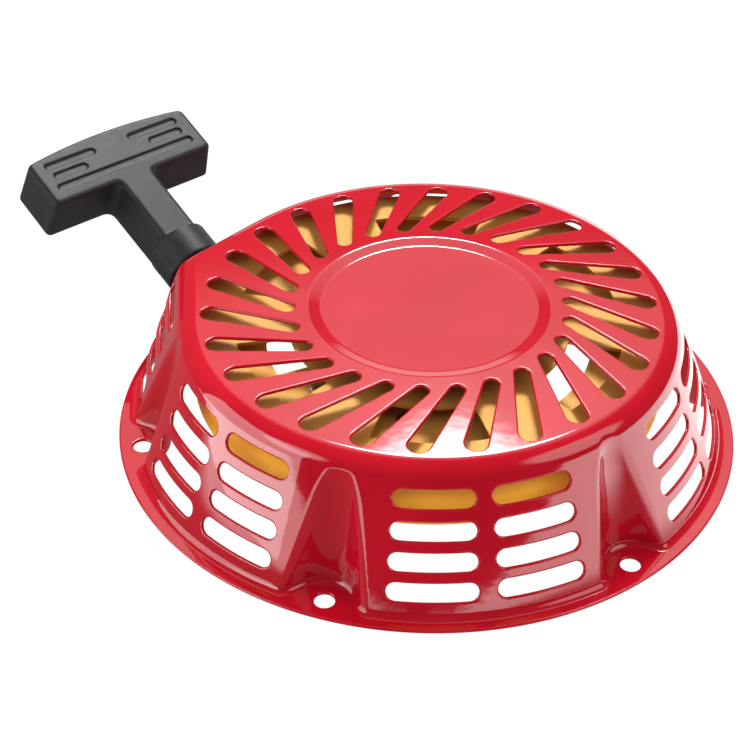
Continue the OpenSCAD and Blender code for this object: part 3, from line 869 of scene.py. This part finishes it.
def rope():
    material, shader = new_material("rope", (0.74, 0.72, 0.66), 0.7, Sheen_Weight=0.4)
    stops = [(0.3, (0.56, 0.54, 0.47)), (0.6, (0.78, 0.76, 0.70))]
    mottle(material, shader, noise(material, 0.5, 5, 0.7), stops)
    bump(material, shader, noise(material, 3.0, 3, 0.6), 0.03)
    return material


YELLOW_TONES = [
    (0.53, 0.30, 0.10), (0.61, 0.33, 0.08), (0.67, 0.335, 0.06), (0.61, 0.295, 0.07), (0.48, 0.30, 0.12),
]
# brighter, matt copy of the yellow zinc for the case wall: its tones paint in the light that the wall gets
# from the floor through the vents
LIT_ZINC_TONES = [
    (0.92, 0.46, 0.015), (0.96, 0.48, 0.010), (0.98, 0.47, 0.008), (0.96, 0.44, 0.010), (0.92, 0.45, 0.020),
]
materials = {
    "red_paint": red_paint(),
    "yellow_zinc": zinc("yellow_zinc", YELLOW_TONES, 0.35),
    "lit_zinc_copy": zinc("lit_zinc_copy", LIT_ZINC_TONES, 0.0),
    "steel": bare_metal("steel", (0.56, 0.57, 0.58), 0.30, 0.35),
    "hard_steel": bare_metal("hard_steel", (0.25, 0.25, 0.27), 0.38, 0.5),
    "spring_steel": bare_metal("spring_steel", (0.20, 0.25, 0.33), 0.28, 0.25),
    "bright_zinc": bare_metal("bright_zinc", (0.66, 0.69, 0.74), 0.26, 0.3),
    "black_plastic": black_plastic(),
    "black_rubber": black_rubber(),
    "rope": rope(),
}


# ---------------------------------------------------------------- pieces

cover_skin = make_cover().build(
    "cover_skin", materials["red_paint"], "cover", ["cover_top", "cover_wall"], "red_paint"
)
make_grip().build("grip_body", materials["black_rubber"], "grip", ["grip"], "black_rubber")
make_coil().build("rope_turns", materials["rope"], "reel", ["rope_coil"], "rope")
lead = make_lead().build("rope_run", materials["rope"], None, (), "rope")
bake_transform(lead)
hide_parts("rope_lead")

END_KNOT = EXIT + PULL * (KNOT_SEAT + KNOT_RISE)
DRUM_KNOT = np.append(polar(DRUM_KNOT_R, DRUM_KNOT_AZ), DRUM_KNOT_Z)
make_knot(END_KNOT, PULL_ROWS, 1.3, 2.3).build(
    "rope_end_knot", materials["rope"], "rope_end", ["grip_knot"], "rope"
)
make_knot(DRUM_KNOT, basis(DRUM_KNOT_AZ, 0), 0.8, 1.5).build(
    "drum_knot", materials["rope"], "reel", ["reel_knot"], "rope"
)

FINISHES = {
    "yellow_zinc": ("case_roof", "reel_upper_plate", "reel_web", "reel_drum"),
    # the case wall is the same plating as the roof; this copy has painted light in its brighter tones
    "lit_zinc_copy": ("case_wall",),
    "steel": ("center_post", "reel_hub", "ratchet_guide"),
    "hard_steel": ("pawl_a", "pawl_b"),
    "spring_steel": ("friction_spring", "recoil_spring"),
    "bright_zinc": (
        "center_screw", "retaining_washer", "reel_rivets", "pawl_pins", "pawl_spring_a", "pawl_spring_b",
        "grip_washer",
    ),
    "black_plastic": ("rope_guide",),
}
for finish, names in FINISHES.items():
    for name in names:
        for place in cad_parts[name].material_slots:
            place.material = materials[finish]


# ---------------------------------------------------------------- studio

PALE = 1.05  # what the camera sees of the floor and of the background beyond it
FLOOR_LIGHT = 1.4  # what matt surfaces get from the floor
FLOOR_HALF, FLOOR_GAP = 3.0, 0.0002


def studio_direction(az, el):
    """Direction seen from the object; azimuth 90 points straight away from the camera."""
    return basis(az + TURN, el)[0]


def towards(owner, vector, az, el):
    """How far a vector reaches in a studio direction."""
    inputs = {0: vector, 1: studio_direction(az, el)}
    return node(owner, "VectorMath", inputs, operation="DOT_PRODUCT").outputs["Value"]


def smooth_step(owner, value, start, end, low, high):
    """Value that goes smoothly from low to high as another goes from start to end."""
    inputs = {"Value": value, "From Min": start, "From Max": end, "To Min": low, "To Max": high}
    return node(owner, "MapRange", inputs, interpolation_type="SMOOTHSTEP").outputs["Result"]


def reckon(owner, operation, a, b):
    """Result of an operation on two numbers or sockets."""
    return node(owner, "Math", {0: a, 1: b}, operation=operation).outputs[0]


floor_mesh = bpy.data.meshes.new("floor")
corners = [(x * FLOOR_HALF, y * FLOOR_HALF, 0) for x, y in ((-1, -1), (1, -1), (1, 1), (-1, 1))]
floor_mesh.from_pydata(corners, [], [(0, 1, 2, 3)])
floor = bpy.data.objects.new("floor", floor_mesh)
floor.location.z = CAD_BOX[0][2] - FLOOR_GAP
bpy.context.collection.objects.link(floor)
floor_material = bpy.data.materials.new("floor")
floor_material.use_nodes = True
floor_material.node_tree.nodes.clear()


def beyond(az, near, far, low, high):
    """Value that changes across the floor, with the distance from the middle towards one side."""
    place = node(floor_material, "TexCoord").outputs["Object"]
    return smooth_step(floor_material, towards(floor_material, place, az, 0), near, far, low, high)


# in reflections the floor is dim round the object, and bright out to the right and at the front left
front, left = beyond(-110, 0.11, 0.15, 0.0, 3.2), beyond(180, 0.14, 0.19, 0.0, 1.0)
front_left = reckon(floor_material, "MULTIPLY", front, left)
mirrored = reckon(floor_material, "ADD", beyond(0, 0.08, 0.14, 0.25, 3.6), front_left)
rays = node(floor_material, "LightPath").outputs
seen = {"Factor": rays["Is Glossy Ray"], "A": FLOOR_LIGHT, "B": mirrored}
glow = node(floor_material, "Emission", {"Strength": node(floor_material, "Mix", seen).outputs["Result"]})
pale = node(floor_material, "Emission", {"Strength": PALE})
both = node(floor_material, "MixShader", {0: rays["Is Camera Ray"], 1: glow.outputs[0], 2: pale.outputs[0]})
node(floor_material, "OutputMaterial", {"Surface": both.outputs[0]})
floor_mesh.materials.append(floor_material)

world = bpy.data.worlds.new("studio")
bpy.context.scene.world = world
world.use_nodes = True


def lobe(az, el, stops):
    """Light that depends on the angle from one direction; stops are (cosine, strength)."""
    look = node(world, "TexCoord").outputs["Generated"]
    cosine = towards(world, look, az, el)
    total = stops[0][1]
    for (c0, s0), (c1, s1) in zip(stops, stops[1:]):
        total = reckon(world, "ADD", total, smooth_step(world, cosine, c0, c1, 0.0, s1 - s0))
    return total


# the soft box behind the object: a pale surround, and a bright middle
SOFT_BOX = [(0.90, 0.0), (0.945, 0.9), (0.955, 1.05), (0.9825, 1.8)]
SOFT_BOX += [(0.9868, 2.4), (0.990, 18.0), (0.994, 44.0)]

# direction, stops, and how much of the light other rays and diffuse rays get
LOBES = [
    (105, 30, [(-1.0, 0.06), (0.3, 0.10), (1.0, 0.18)], (1, 1)),  # the room
    (86.5, 53, SOFT_BOX, (1, 0.4)),
    (88, -8, [(0.914, 0.0), (0.945, 1.1)], (1, 1)),  # backdrop behind, low down
    (-150, 33, [(0.965, 0.0), (0.985, 3.0)], (1, 1)),  # soft box at the front left
    (-15, 40, [(0.93, 0.0), (0.965, 2.5)], (1, 1)),  # soft box on the right
    (90, 80, [(-0.2, 0.0), (1.0, 0.9)], (0, 1)),  # light scattered by the ceiling, not seen in reflections
]
rays = node(world, "LightPath").outputs
light = 0.0
for az, el, stops, shade in LOBES:
    part = lobe(az, el, stops)
    if shade != (1, 1):
        part = reckon(world, "MULTIPLY", part, mapped(world, rays["Is Diffuse Ray"], *shade))
    light = reckon(world, "ADD", light, part)
shown = node(world, "Mix", {"Factor": rays["Is Camera Ray"], "A": light, "B": PALE})
background = world.node_tree.nodes["Background"]
background.inputs["Color"].default_value = (1, 1, 1, 1)
world.node_tree.links.new(shown.outputs["Result"], background.inputs["Strength"])


def panel(name, az, el, distance, height, size, energy):
    """Rectangular lamp aimed from one side; height is that of the point it faces."""
    lamp = bpy.data.lights.new(name, "AREA")
    lamp.shape, lamp.energy = "RECTANGLE", energy
    lamp.size, lamp.size_y = size
    made = bpy.data.objects.new(name, lamp)
    away = Vector(studio_direction(az, el))
    made.location = away * distance + Vector((0, 0, height))
    made.rotation_euler = away.to_track_quat("Z", "Y").to_euler()
    made.visible_camera = False
    bpy.context.collection.objects.link(made)
    return made


# a white card that only the cover mirrors, and a lamp that gives no highlights
card = panel("card", az=-157, el=0, distance=0.27, height=0.1, size=(0.24, 0.2), energy=0.5)
card.visible_diffuse = False
card.light_linking.receiver_collection = bpy.data.collections.new("mirrors_card")
card.light_linking.receiver_collection.objects.link(cover_skin)
fill = panel("fill", az=180, el=25, distance=0.9, height=0, size=(0.6, 0.6), energy=2.8)
fill.visible_glossy = False
bpy.context.scene.view_settings.view_transform = "Standard"
